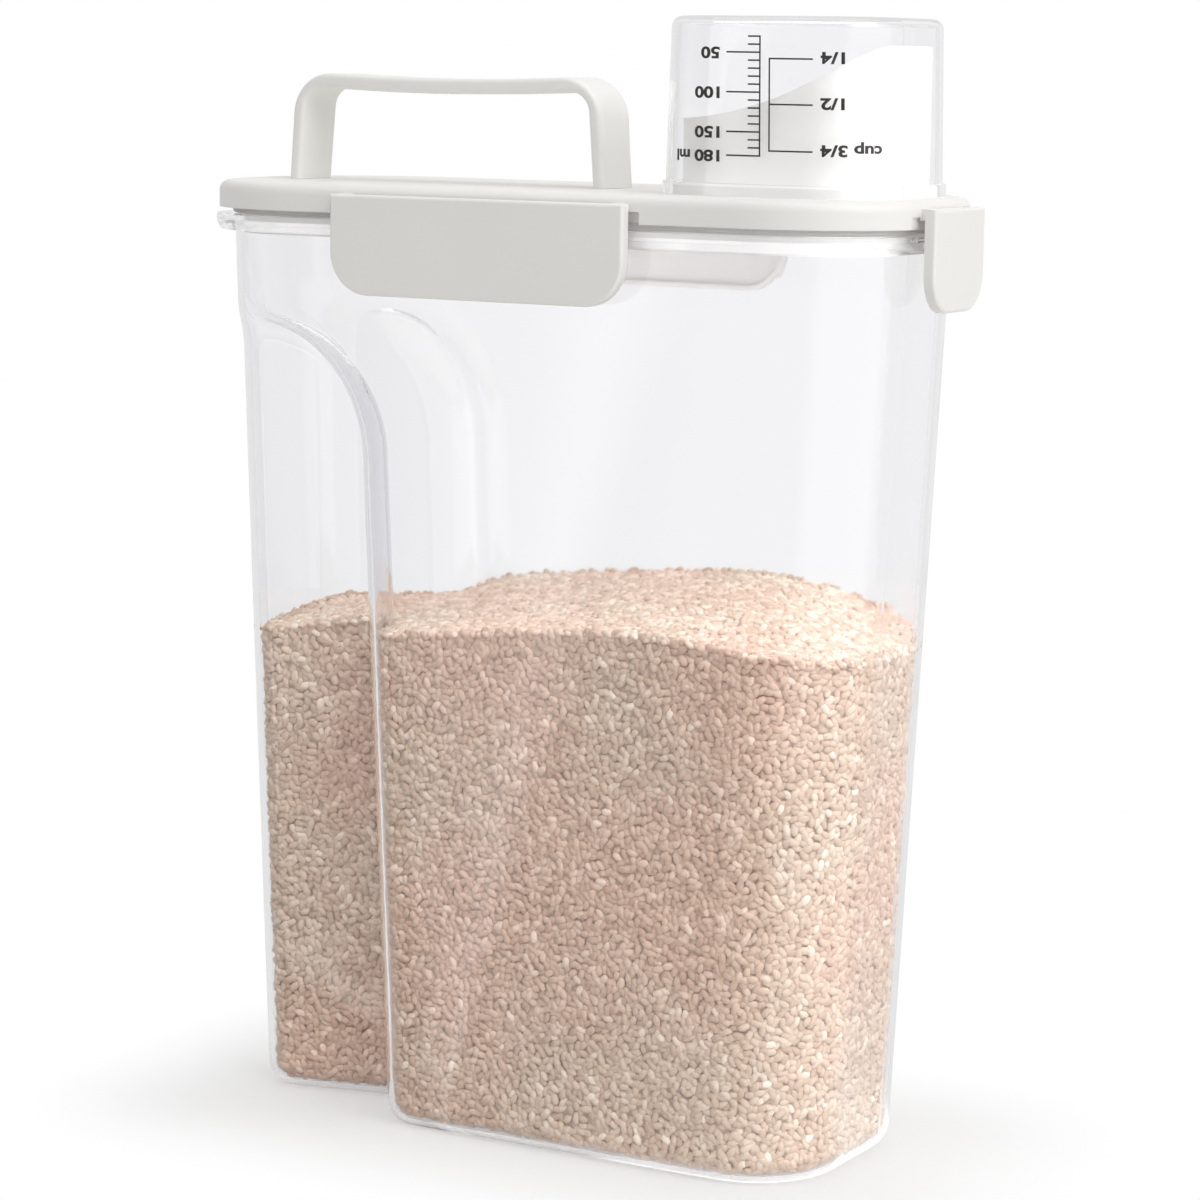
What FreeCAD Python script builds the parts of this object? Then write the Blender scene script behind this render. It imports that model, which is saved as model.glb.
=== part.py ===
"""Rice storage container: a clear hopper, a clipped lid with a pour spout, and a measuring cup as its cap.

Millimetres, +Z up. The origin is the middle of the base; +X is the spout end and -Y the front.
"""
import FreeCAD, Part
import math
import os
import re
import Sketcher
from FreeCAD import Rotation, Vector

# Driving dimensions, in millimetres and degrees.
SIZES = {
    # Clear hopper, drafted from its mouth down to the base
    "mouth_length": 244.4,
    "mouth_width": 97,
    "mouth_flat": 11.5,
    "end_draft": 12.7,
    "side_draft": 2,
    "base_flat": 13.5,
    "base_shift": 1,
    "base_round": 9,
    "body_height": 302,
    "body_wall": 1.8,
    # Grip recess in each broad side
    "grip_reach": 61.6,
    "grip_lean": 2.7,
    "grip_arch": 44,
    "grip_drop": 35.3,
    "grip_inset": 36.5,
    "grip_half": 21.5,
    "grip_tilt": 13,
    "grip_root": 10,
    "grip_edge": 11,
    # Out-turned rim that the clips catch
    "rim_over": 0.9,
    "rim_height": 5,
    "rim_web": 1.8,
    "lip_wall": 2,
    "catch_run": 1.2,
    "catch_rise": 2.2,
    # Lid
    "lid_over_end": 6.5,
    "lid_over_side": 4.6,
    "lid_flat": 9.1,
    "lid_gap": 2.2,
    "lid_depth": 8.8,
    "lid_skin": 2.2,
    "lid_wall": 2,
    "lid_round": 3.5,
    "plug_clear": 0.9,
    "plug_wall": 1.8,
    "plug_depth": 6,
    "groove_rib": 1.2,
    "groove_lift": 0.6,
    # Gasket in the lid's groove
    "gasket_width": 3.4,
    "gasket_slot": 1.2,
    "gasket_web": 3,
    "gasket_round": 1.2,
    "gasket_gap": 0.3,
    "seat_clear": 0.05,
    # Pour spout and the seal around its foot
    "spout_inset": 49.2,
    "spout_wall": 1.8,
    "spout_low": 23.4,
    "spout_lip": 115,
    "seal_width": 3.05,
    "seal_height": 3.5,
    "seal_round": 0.8,
    "seal_clear": 0.3,
    # Measuring cup
    "cup_length": 80,
    "cup_width": 72,
    "cup_corner": 24,
    "cup_height": 55,
    "cup_taper": 1.2,
    "cup_wall": 2,
    "cup_round": 3.5,
    "cup_rim_over": 1,
    "cup_rim_height": 4,
    "cup_rim_round": 0.6,
    "cup_gap": 0.1,
    # Strap handle
    "handle_margin": 19.5,
    "handle_cup_gap": 25.95,
    "handle_rise": 36,
    "handle_sag": 1.8,
    "handle_lean": 2.5,
    "handle_leg": 4.2,
    "handle_bar": 5,
    "handle_width": 20.5,
    "handle_bend": 14,
    "handle_crook": 7,
    "handle_round": 1.6,
    "tongue_thick": 3.2,
    "tongue_width": 12,
    "tongue_reach": 3.4,
    "tongue_clear": 0.15,
    "barb_out": 1,
    "barb_width": 8,
    # Clips and their hinges
    "clip_place": 7.5,
    "clip_width": 107.5,
    "clip_corner": 14,
    "clip_bead_inset": 6.75,
    "end_clip_width": 37.6,
    "end_clip_corner": 12,
    "end_bead_inset": 10.3,
    "clip_height": 32,
    "clip_top": 1.6,
    "clip_out": 3.3,
    "clip_depth": 3.8,
    "clip_face": 1.45,
    "clip_wall": 1.5,
    "clip_round": 1.1,
    "bead_clear": 0.3,
    "bead_foot": 2.4,
    "hinge_out": 1.8,
    "hinge_drop": 4.2,
    "pin_radius": 0.95,
    "pin_clear": 0.05,
    "eye_wall": 0.75,
    "lug_width": 4,
    "lug_clear": 0.2,
    "lug_root": 1.2,
    "relief_over": 3,
    "relief_height": 3.8,
    "cut_over": 1,
}

# Levels and sizes that follow from the driving ones.
DERIVED = {
    "mouth_corner": "mouth_width / 2 - mouth_flat",
    "base_length": "mouth_length - 2 * end_draft",
    "base_width": "mouth_width - 2 * side_draft",
    "base_corner": "base_width / 2 - base_flat",
    "base_end": "base_length / 2 + base_shift",
    "grip_step": "base_end - grip_reach",
    "grip_middle": "base_end - grip_inset",
    "grip_top": "body_height - grip_drop",
    "lid_length": "mouth_length + 2 * lid_over_end",
    "lid_width": "mouth_width + 2 * lid_over_side",
    "lid_corner": "lid_width / 2 - lid_flat",
    "rim_length": "lid_length + 2 * rim_over",
    "rim_width": "lid_width + 2 * rim_over",
    "rim_corner": "lid_corner + rim_over",
    "rim_foot": "body_height - rim_height",
    "lid_edge": "body_height + lid_gap",
    "lid_top": "lid_edge + lid_depth",
    "lid_ceiling": "lid_top - lid_skin",
    "plug_inset": "2 * (body_wall + plug_clear)",
    "plug_length": "mouth_length - plug_inset",
    "plug_width": "mouth_width - plug_inset",
    "plug_corner": "mouth_corner - plug_inset / 2",
    "plug_foot": "body_height - plug_depth",
    "groove_width": "gasket_width + 2 * seat_clear",
    "spout_place": "lid_length / 2 - spout_inset",
    "spout_gap": "cup_wall + seal_clear + seal_width + seat_clear",
    "spout_length": "cup_length - 2 * spout_gap",
    "spout_width": "cup_width - 2 * spout_gap",
    "spout_corner": "cup_corner - spout_gap",
    "cup_near": "spout_inset + cup_length / 2 + cup_rim_over",
    "handle_span": "lid_length - handle_margin - cup_near - handle_cup_gap",
    "handle_place": "lid_length / 2 - handle_margin - handle_span / 2",
    "handle_foot": "lid_top + seat_clear",
    "tongue_place": "handle_span / 2 - handle_leg / 2",
    "cup_foot": "lid_top + cup_gap",
    "clip_bead": "clip_width - 2 * clip_bead_inset",
    "end_clip_bead": "end_clip_width - 2 * end_bead_inset",
    "clip_foot": "clip_height - clip_top",
    "clip_back": "clip_depth - clip_out",
    "slot_width": "lug_width + 2 * lug_clear",
    "eye_radius": "pin_radius + pin_clear + eye_wall",
    "hinge_level": "lid_top - hinge_drop",
    "lug_in": "clip_wall + lug_clear + lug_width",
}

doc = FreeCAD.newDocument("rice_container")
sheet = doc.addObject("Spreadsheet::Sheet", "Sizes")
for row, (word, number) in enumerate(SIZES.items(), 1):
    sheet.set(f"A{row}", word)
    sheet.set(f"B{row}", str(number))
    sheet.setAlias(f"B{row}", word)
doc.recompute()


def formula(text):
    """Spells a formula out in cells of the sheet."""
    def spell(match):
        word = match.group()
        if word in DERIVED:
            return f"({formula(DERIVED[word])})"
        return f"Sizes.{word}" if word in SIZES else word
    return re.sub(r"[a-z_]+", spell, text)


def value(text):
    """The present size of a formula."""
    return float(sheet.evalExpression(formula(text)))


def bind(thing, prop, text):
    thing.setExpression(prop, formula(text))


def new_body(name):
    body = doc.addObject("PartDesign::Body", name)
    body.Label = name
    return body


def origin_plane(body, role):
    return next(item for item in body.Origin.OriginFeatures if item.Role == role)


def new_sketch(body, name, role="XY_Plane", level=None, across=None, up=None):
    """A sketch on one of the body's own planes, moved off it by formulas along the sketch's axes."""
    sketch = body.newObject("Sketcher::SketchObject", name)
    sketch.AttachmentSupport = (origin_plane(body, role), [""])
    sketch.MapMode = "FlatFace"
    for axis, text in (("x", across), ("y", up), ("z", level)):
        if text:
            bind(sketch, f"AttachmentOffset.Base.{axis}", text)
    return sketch


def size(sketch, constraint, text):
    """Adds a dimension and ties it to a formula."""
    index = sketch.addConstraint(constraint)
    bind(sketch, f"Constraints[{index}]", text)


def place(sketch, geometry, end, across, up):
    """Holds one point of a sketch at two formulas from the sketch's origin."""
    for kind, axis, text in (("DistanceX", -2, across), ("DistanceY", -1, up)):
        if text is None:
            continue
        offset = value(text)
        if text == "0":
            sketch.addConstraint(Sketcher.Constraint("PointOnObject", geometry, end, axis))
        elif offset > 0:
            size(sketch, Sketcher.Constraint(kind, -1, 1, geometry, end, offset), text)
        else:
            size(sketch, Sketcher.Constraint(kind, geometry, end, -1, 1, -offset), f"-({text})")


def join(sketch, first, count):
    """Joins the ends of consecutive pieces into a closed outline."""
    for step in range(count):
        following = first + (step + 1) % count
        sketch.addConstraint(Sketcher.Constraint("Coincident", first + step, 2, following, 1))


def polygon(sketch, corners):
    """A closed outline of straight lines; each corner is two formulas from the sketch's origin."""
    points = [Vector(value(across), value(up), 0) for across, up in corners]
    first = sketch.GeometryCount
    for here, there in zip(points, points[1:] + points[:1]):
        sketch.addGeometry(Part.LineSegment(here, there))
    join(sketch, first, len(points))
    for step, (across, up) in enumerate(corners):
        place(sketch, first + step, 1, across, up)


def chain(sketch, stops):
    """Straight lines from stop to stop; each stop is two formulas from the sketch's origin."""
    points = [Vector(value(across), value(up), 0) for across, up in stops]
    first = sketch.GeometryCount
    for step, (here, there) in enumerate(zip(points, points[1:])):
        sketch.addGeometry(Part.LineSegment(here, there))
        place(sketch, first + step, 1, *stops[step])
        if step:
            sketch.addConstraint(Sketcher.Constraint("Coincident", first + step - 1, 2, first + step, 1))
    place(sketch, first + len(stops) - 2, 2, *stops[-1])
    return first


def sagging(sketch, half, level):
    """A shallow arc that hangs between two points at a level; it starts on the left."""
    reach, up, drop = value(half), value(level), value("handle_sag")
    arc = sketch.addGeometry(Part.Arc(Vector(-reach, up, 0), Vector(0, up - drop, 0), Vector(reach, up, 0)))
    radius = f"({half} * {half} + handle_sag * handle_sag) / (2 * handle_sag)"
    size(sketch, Sketcher.Constraint("Radius", arc, value(radius)), radius)
    return arc


def circle_about_origin(sketch, radius):
    circle = sketch.addGeometry(Part.Circle(Vector(0, 0, 0), Vector(0, 0, 1), value(radius)))
    sketch.addConstraint(Sketcher.Constraint("Coincident", circle, 3, -1, 1))
    size(sketch, Sketcher.Constraint("Radius", circle, value(radius)), radius)


def rectangle(sketch, left, right, low, high):
    polygon(sketch, [(left, low), (right, low), (right, high), (left, high)])


def rounded_rectangle(sketch, length, width, corner):
    """A rectangle with round corners about the sketch's origin."""
    reach, half, radius = value(length) / 2, value(width) / 2, value(corner)
    inner_x, inner_y = reach - radius, half - radius
    sides = [((-inner_x, -half), (inner_x, -half)), ((reach, -inner_y), (reach, inner_y)),
             ((inner_x, half), (-inner_x, half)), ((-reach, inner_y), (-reach, -inner_y))]
    centres = [(inner_x, -inner_y), (inner_x, inner_y), (-inner_x, inner_y), (-inner_x, -inner_y)]
    first = sketch.GeometryCount
    for quarter, ((start, stop), centre) in enumerate(zip(sides, centres), -1):
        sketch.addGeometry(Part.LineSegment(Vector(*start, 0), Vector(*stop, 0)))
        circle = Part.Circle(Vector(*centre, 0), Vector(0, 0, 1), radius)
        turn = math.pi / 2
        sketch.addGeometry(Part.ArcOfCircle(circle, quarter * turn, (quarter + 1) * turn))
    for step in range(8):
        following = first + (step + 1) % 8
        sketch.addConstraint(Sketcher.Constraint("Tangent", first + step, 2, following, 1))
    for step, rule in ((0, "Horizontal"), (2, "Vertical"), (4, "Horizontal"), (6, "Vertical")):
        sketch.addConstraint(Sketcher.Constraint(rule, first + step))
    for step in (3, 5, 7):
        sketch.addConstraint(Sketcher.Constraint("Equal", first + 1, first + step))
    sketch.addConstraint(Sketcher.Constraint("Symmetric", first + 1, 3, first + 5, 3, -1, 1))
    size(sketch, Sketcher.Constraint("Radius", first + 1, radius), corner)
    size(sketch, Sketcher.Constraint("DistanceX", first + 6, 1, first + 2, 1, 2 * reach), length)
    size(sketch, Sketcher.Constraint("DistanceY", first, 1, first + 4, 1, 2 * half), width)


def apron(sketch, half, low, high, corner):
    """An upright outline about the sketch's vertical axis, with its two lower corners round."""
    reach, foot, top, radius = value(half), value(low), value(high), value(corner)
    across, up = reach - radius, foot + radius
    first = sketch.GeometryCount

    def line(*ends):
        sketch.addGeometry(Part.LineSegment(*(Vector(*end, 0) for end in ends)))

    def bend(side, start):
        circle = Part.Circle(Vector(side * across, up, 0), Vector(0, 0, 1), radius)
        sketch.addGeometry(Part.ArcOfCircle(circle, start, start + math.pi / 2))

    line((-reach, top), (-reach, up))
    bend(-1, math.pi)
    line((-across, foot), (across, foot))
    bend(1, -math.pi / 2)
    line((reach, up), (reach, top))
    line((reach, top), (-reach, top))
    for step in range(4):
        sketch.addConstraint(Sketcher.Constraint("Tangent", first + step, 2, first + step + 1, 1))
    sketch.addConstraint(Sketcher.Constraint("Coincident", first + 4, 2, first + 5, 1))
    sketch.addConstraint(Sketcher.Constraint("Coincident", first + 5, 2, first, 1))
    for step, rule in ((0, "Vertical"), (2, "Horizontal"), (4, "Vertical")):
        sketch.addConstraint(Sketcher.Constraint(rule, first + step))
    sketch.addConstraint(Sketcher.Constraint("Equal", first + 1, first + 3))
    size(sketch, Sketcher.Constraint("Radius", first + 1, radius), corner)
    place(sketch, first, 1, f"-{half}", high)
    place(sketch, first + 5, 1, half, high)
    place(sketch, first + 2, 1, None, low)


def pad(body, sketch, name, length, reverse=False, middle=False):
    feature = body.newObject("PartDesign::Pad", name)
    feature.Profile = sketch
    feature.Reversed = reverse
    feature.SideType = "Symmetric" if middle else "One side"
    bind(feature, "Length", length)
    doc.recompute()
    return feature


def pocket(body, sketch, name, length, reverse=False, middle=False):
    """Cuts a sketch into the body and makes sure that it took something away."""
    before = body.Shape.Volume
    feature = body.newObject("PartDesign::Pocket", name)
    feature.Profile = sketch
    feature.Reversed = reverse
    feature.SideType = "Symmetric" if middle else "One side"
    bind(feature, "Length", length)
    doc.recompute()
    if not feature.Shape.Volume < before:
        raise RuntimeError(f"{body.Label}: {name} cuts nothing")
    return feature


def middle_of(edge):
    return edge.valueAt((edge.FirstParameter + edge.LastParameter) / 2)


def edges_where(feature, test):
    """Names of a feature's edges whose middle and ends pass a test."""
    return [f"Edge{number}" for number, edge in enumerate(feature.Shape.Edges, 1)
            if all(test(point) for point in [middle_of(edge)] + [end.Point for end in edge.Vertexes])]


def edge_nearest(feature, point):
    distances = [middle_of(edge).distanceToPoint(point) for edge in feature.Shape.Edges]
    return f"Edge{distances.index(min(distances)) + 1}"


def face_at_level(feature, level):
    """Name of the face that lies flat at a level."""
    for number, face in enumerate(feature.Shape.Faces, 1):
        if abs(face.BoundBox.ZMin - level) < 1e-4 and abs(face.BoundBox.ZMax - level) < 1e-4:
            return f"Face{number}"
    raise RuntimeError(f"{feature.Label}: no face at {level}")


def fillet(body, name, base, edges, radius):
    feature = body.newObject("PartDesign::Fillet", name)
    feature.Base = (base, edges)
    bind(feature, "Radius", radius)
    doc.recompute()
    return feature


def loft(body, name, low, high):
    feature = body.newObject("PartDesign::AdditiveLoft", name)
    feature.Profile = low
    feature.Sections = [high]
    feature.Ruled = True
    doc.recompute()
    return feature


def shell(body, name, base, open_level, wall):
    """Hollows the body to an even wall, inwards, with one flat face left open."""
    feature = body.newObject("PartDesign::Thickness", name)
    feature.Base = (base, [face_at_level(base, open_level)])
    feature.Reversed = True
    bind(feature, "Value", wall)
    doc.recompute()
    return feature


def ring(body, name, level, outer, inner, across=None):
    """A sketch of two round-cornered outlines, one inside the other."""
    sketch = new_sketch(body, name, level=level, across=across)
    rounded_rectangle(sketch, *outer)
    rounded_rectangle(sketch, *inner)
    return sketch


def mirror(body, name, features, role):
    feature = body.newObject("PartDesign::Mirrored", name)
    feature.Originals = features
    feature.MirrorPlane = (origin_plane(body, role), [""])
    body.Tip = feature
    doc.recompute()
    return feature


def grip_outline(body):
    """Side view of a grip recess: a leaning step that turns over a round arch to the grip end."""
    sketch = new_sketch(body, "grip_outline", "XZ_Plane", level="mouth_width")
    lean, radius = math.radians(value("grip_lean")), value("grip_arch")
    low, far, top = -value("cut_over"), -value("mouth_length"), value("grip_top")
    centre_up = top - radius
    centre_across = -value("grip_step") - centre_up * math.tan(lean) - radius / math.cos(lean)
    spring = Vector(centre_across + radius * math.cos(lean), centre_up + radius * math.sin(lean), 0)
    corners = [Vector(far, low, 0), Vector(-value("grip_step") - low * math.tan(lean), low, 0), spring]
    first = sketch.GeometryCount
    for here, there in zip(corners, corners[1:]):
        sketch.addGeometry(Part.LineSegment(here, there))
    circle = Part.Circle(Vector(centre_across, centre_up, 0), Vector(0, 0, 1), radius)
    sketch.addGeometry(Part.ArcOfCircle(circle, lean, math.pi / 2))
    crown = Vector(centre_across, top, 0)
    sketch.addGeometry(Part.LineSegment(crown, Vector(far, top, 0)))
    sketch.addGeometry(Part.LineSegment(Vector(far, top, 0), corners[0]))
    foot, step, arch, roof, end = range(first, first + 5)
    sketch.addConstraint(Sketcher.Constraint("Coincident", foot, 2, step, 1))
    sketch.addConstraint(Sketcher.Constraint("Tangent", step, 2, arch, 1))
    sketch.addConstraint(Sketcher.Constraint("Tangent", arch, 2, roof, 1))
    sketch.addConstraint(Sketcher.Constraint("Coincident", roof, 2, end, 1))
    sketch.addConstraint(Sketcher.Constraint("Coincident", end, 2, foot, 1))
    sketch.addConstraint(Sketcher.Constraint("Horizontal", roof))
    size(sketch, Sketcher.Constraint("Radius", arch, radius), "grip_arch")
    place(sketch, foot, 1, "-mouth_length", "-cut_over")
    place(sketch, step, 1, "-(grip_step - cut_over * tan(grip_lean))", "-cut_over")
    place(sketch, roof, 2, "-mouth_length", "grip_top")
    size(sketch, Sketcher.Constraint("Angle", step, math.pi / 2 + lean), "90 + grip_lean")
    return sketch


def grip_recesses(body):
    """Cuts the two recesses down to floors that draw in towards the step."""
    floor = body.newObject("PartDesign::Plane", "grip_floor")
    floor.AttachmentSupport = (origin_plane(body, "XZ_Plane"), [""])
    floor.MapMode = "FlatFace"
    bind(floor, "AttachmentOffset.Rotation.Pitch", "grip_tilt")
    bind(floor, "AttachmentOffset.Base.x", "-grip_middle")
    bind(floor, "AttachmentOffset.Base.z", "grip_half")
    recess = body.newObject("PartDesign::Pocket", "grip_recess")
    recess.Profile = grip_outline(body)
    recess.Type = "UpToFace"
    recess.UpToFace = (floor, [""])
    before = body.Shape.Volume
    doc.recompute()
    if not recess.Shape.Volume < before:
        raise RuntimeError("the grip recess cuts nothing")
    return mirror(body, "grip_pair", [recess], "XZ_Plane")


def step_points(level, half):
    """A point on each step at a level, at a half width from the middle plane."""
    across = -value("grip_step") - level * math.tan(math.radians(value("grip_lean")))
    return [Vector(across, -half, level), Vector(across, half, level)]


def container_body():
    body = new_body("container_body")
    base = new_sketch(body, "base_outline", across="-base_shift")
    rounded_rectangle(base, "base_length", "base_width", "base_corner")
    mouth = new_sketch(body, "mouth_outline", level="body_height")
    rounded_rectangle(mouth, "mouth_length", "mouth_width", "mouth_corner")
    loft(body, "drafted_form", base, mouth)
    form = grip_recesses(body)
    level = (value("grip_top") - value("grip_arch")) / 2
    inner = value("grip_half") - (value("grip_middle") - value("grip_step")) * math.tan(
        math.radians(value("grip_tilt")))
    roots = [edge_nearest(form, point) for point in step_points(level, inner)]
    form = fillet(body, "grip_roots", form, roots, "grip_root")
    steps = [edge_nearest(form, point) for point in step_points(level, value("base_width") / 2)]
    form = fillet(body, "grip_edges", form, steps, "grip_edge")
    foot = edges_where(form, lambda point: abs(point.z) < 1e-4)
    form = fillet(body, "base_edges", form, foot, "base_round")
    shell(body, "hollow", form, value("body_height"), "body_wall")
    bore = ("mouth_length - 2 * body_wall", "mouth_width - 2 * body_wall", "mouth_corner - body_wall")
    rim = ring(body, "rim_outline", "rim_foot", ("rim_length", "rim_width", "rim_corner"), bore)
    rim_catch(body, pad(body, rim, "rim", "rim_height"))
    lip = ("rim_length - 2 * lip_wall", "rim_width - 2 * lip_wall", "rim_corner - lip_wall")
    outside = ("mouth_length", "mouth_width", "mouth_corner")
    channel = ring(body, "channel_outline", "rim_foot", lip, outside)
    pocket(body, channel, "rim_channel", "rim_height - rim_web", reverse=True)
    return body


def rim_catch(body, rim):
    """Bevels the outer foot of the lip, steep enough for a clip's bead to slide off as it swings."""
    foot, reach, half = value("rim_foot"), value("rim_length") / 2, value("rim_width") / 2
    lip = value("lip_wall")

    def on_outer_foot(point):
        inside = abs(point.x) < reach - lip / 2 and abs(point.y) < half - lip / 2
        corner = math.hypot(max(abs(point.x) - reach + value("rim_corner"), 0),
                            max(abs(point.y) - half + value("rim_corner"), 0))
        return abs(point.z - foot) < 1e-4 and not (inside and corner < value("rim_corner") - lip / 2)

    feature = body.newObject("PartDesign::Chamfer", "rim_catch")
    feature.Base = (rim, edges_where(rim, on_outer_foot))
    feature.ChamferType = "Two distances"
    bind(feature, "Size", "catch_run")
    bind(feature, "Size2", "catch_rise")
    doc.recompute()
    probe = Vector(0, -half + value("catch_run") / 8, foot + value("catch_rise") * 3 / 4)
    if feature.Shape.isInside(probe, 1e-4, True):
        feature.FlipDirection = True
        doc.recompute()


def lid_gasket():
    body = new_body("lid_gasket")
    inner = [f"{word} + 2 * seat_clear" for word in ("plug_length", "plug_width")]
    outer = [f"{text} + 2 * gasket_width" for text in inner]
    corner = "plug_corner + seat_clear"
    profile = ring(body, "gasket_outline", "body_height + gasket_gap",
                   (*outer, f"{corner} + gasket_width"), (*inner, corner))
    solid = pad(body, profile, "gasket_ring", "lid_ceiling - seat_clear - body_height - gasket_gap")
    foot = edges_where(solid, lambda point: abs(point.z - value("body_height + gasket_gap")) < 1e-4)
    fillet(body, "gasket_nose", solid, foot, "gasket_round")
    cheek = "(gasket_width - gasket_slot) / 2"
    slot = ring(body, "slot_outline", "lid_ceiling - seat_clear",
                (*(f"{text} - 2 * {cheek}" for text in outer), f"{corner} + gasket_width - {cheek}"),
                (*(f"{text} + 2 * {cheek}" for text in inner), f"{corner} + {cheek}"))
    pocket(body, slot, "gasket_slot", "lid_ceiling - seat_clear - body_height - gasket_gap - gasket_web")
    return body


def lid():
    body = new_body("lid")
    edge = new_sketch(body, "lid_outline", level="lid_edge")
    rounded_rectangle(edge, "lid_length", "lid_width", "lid_corner")
    plate = pad(body, edge, "lid_plate", "lid_depth")
    top = edges_where(plate, lambda point: abs(point.z - value("lid_top")) < 1e-4)
    fillet(body, "lid_edge_round", plate, top, "lid_round")
    hollow = new_sketch(body, "hollow_outline", level="lid_edge")
    inside = ("lid_length - 2 * lid_wall", "lid_width - 2 * lid_wall", "lid_corner - lid_wall")
    rounded_rectangle(hollow, *inside)
    pocket(body, hollow, "lid_hollow", "lid_depth - lid_skin", reverse=True)
    plug = ("plug_length", "plug_width", "plug_corner")
    bore = ("plug_length - 2 * plug_wall", "plug_width - 2 * plug_wall", "plug_corner - plug_wall")
    pad(body, ring(body, "plug_outline", "plug_foot", plug, bore), "plug_skirt", "lid_ceiling - plug_foot")
    lid_groove(body)
    lid_spout(body)
    lid_slots(body)
    lid_reliefs(body)
    lid_lugs(body)
    return body


def lid_groove(body):
    """A low rib that holds the gasket against the plug."""
    inner = [f"{word} + 2 * groove_width" for word in ("plug_length", "plug_width")]
    outer = [f"{text} + 2 * groove_rib" for text in inner]
    rib = ring(body, "groove_outline", "lid_edge + groove_lift",
               (*outer, "plug_corner + groove_width + groove_rib"), (*inner, "plug_corner + groove_width"))
    pad(body, rib, "groove_rib", "lid_ceiling - lid_edge - groove_lift")


def lid_spout(body):
    """The pour spout: a square tube whose mouth climbs along an arc to the pouring lip."""
    outline = ("spout_length", "spout_width", "spout_corner")
    tube = new_sketch(body, "spout_outline", level="lid_ceiling", across="spout_place")
    rounded_rectangle(tube, *outline)
    pad(body, tube, "spout_stock", "lid_skin + spout_low + spout_length")
    mouth = new_sketch(body, "spout_mouth", "XZ_Plane", across="spout_place", up="lid_top + spout_low")
    start, stop = value("-spout_length / 2"), value("spout_length / 2 + cut_over")
    radius, stock = value("spout_lip"), value("spout_length + cut_over")
    swing = math.asin((stop - start) / radius)
    circle = Part.Circle(Vector(start, radius, 0), Vector(0, 0, 1), radius)
    mouth.addGeometry(Part.ArcOfCircle(circle, -math.pi / 2, swing - math.pi / 2))
    lip = radius - radius * math.cos(swing)
    corners = [(stop, lip), (stop, stock), (-stop, stock), (-stop, 0), (start, 0)]
    for here, there in zip(corners, corners[1:]):
        mouth.addGeometry(Part.LineSegment(Vector(*here, 0), Vector(*there, 0)))
    join(mouth, 0, 5)
    place(mouth, 0, 3, "-spout_length / 2", "spout_lip")
    place(mouth, 0, 1, "-spout_length / 2", "0")
    place(mouth, 0, 2, "spout_length / 2 + cut_over", None)
    place(mouth, 1, 2, "spout_length / 2 + cut_over", "spout_length + cut_over")
    place(mouth, 2, 2, "-(spout_length / 2 + cut_over)", "spout_length + cut_over")
    place(mouth, 3, 2, "-(spout_length / 2 + cut_over)", "0")
    pocket(body, mouth, "spout_slope", "spout_width + 2 * cut_over", middle=True)
    bore = new_sketch(body, "spout_bore", level="lid_ceiling", across="spout_place")
    bored = [f"{word} - 2 * spout_wall" for word in outline[:2]]
    rounded_rectangle(bore, *bored, "spout_corner - spout_wall")
    pocket(body, bore, "spout_passage", "lid_skin + spout_low + spout_length", reverse=True)


def lid_slots(body):
    """Slots for the handle's tongues."""
    slots = new_sketch(body, "tongue_slots", level="lid_top", across="-handle_place")
    half, reach = "(tongue_width / 2 + tongue_clear)", "(tongue_thick / 2 + tongue_clear)"
    for centre in ("tongue_place", "-tongue_place"):
        rectangle(slots, f"{centre} - {reach}", f"{centre} + {reach}", f"-{half}", half)
    pocket(body, slots, "handle_slots", "lid_skin")


def lid_reliefs(body):
    """Clears the lower half of the lid's edge behind each clip."""
    sides = new_sketch(body, "side_relief", "XZ_Plane", "lid_width / 2", "-clip_place", "lid_edge")
    half = "(clip_width / 2 + relief_over)"
    rectangle(sides, f"-{half}", half, "-cut_over", "relief_height")
    front = pocket(body, sides, "front_relief", "lid_wall")
    mirror(body, "side_reliefs", [front], "XZ_Plane")
    end = new_sketch(body, "end_relief_outline", "YZ_Plane", level="lid_length / 2", up="lid_edge")
    half = "(end_clip_width / 2 + relief_over)"
    rectangle(end, f"-{half}", half, "-cut_over", "relief_height")
    pocket(body, end, "end_relief", "lid_wall")


def lug(body, name, role, level, out, flip):
    """One hinge lug: an eye on a short stem that runs into the lid's edge."""
    profile = new_sketch(body, f"{name}_outline", role, level=level, across=out, up="hinge_level")
    radius, stem = value("eye_radius") * flip, value("hinge_out + lug_root") * flip
    circle = Part.Circle(Vector(0, 0, 0), Vector(0, 0, 1), abs(radius))
    side = flip * math.pi / 2
    profile.addGeometry(Part.ArcOfCircle(circle, side, side + math.pi))
    corners = [(0, -radius), (stem, -radius), (stem, radius), (0, radius)]
    for here, there in zip(corners, corners[1:]):
        profile.addGeometry(Part.LineSegment(Vector(*here, 0), Vector(*there, 0)))
    join(profile, 0, 4)
    place(profile, 0, 3, "0", "0")
    size(profile, Sketcher.Constraint("Radius", 0, abs(radius)), "eye_radius")
    sign = "" if flip > 0 else "-"
    place(profile, 0, 1, "0", None)
    place(profile, 0, 2, "0", None)
    place(profile, 1, 2, f"{sign}(hinge_out + lug_root)", f"-({sign}eye_radius)")
    place(profile, 2, 2, f"{sign}(hinge_out + lug_root)", f"{sign}eye_radius")
    circle_about_origin(profile, "pin_radius + pin_clear")
    return pad(body, profile, name, "lug_width")


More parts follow.
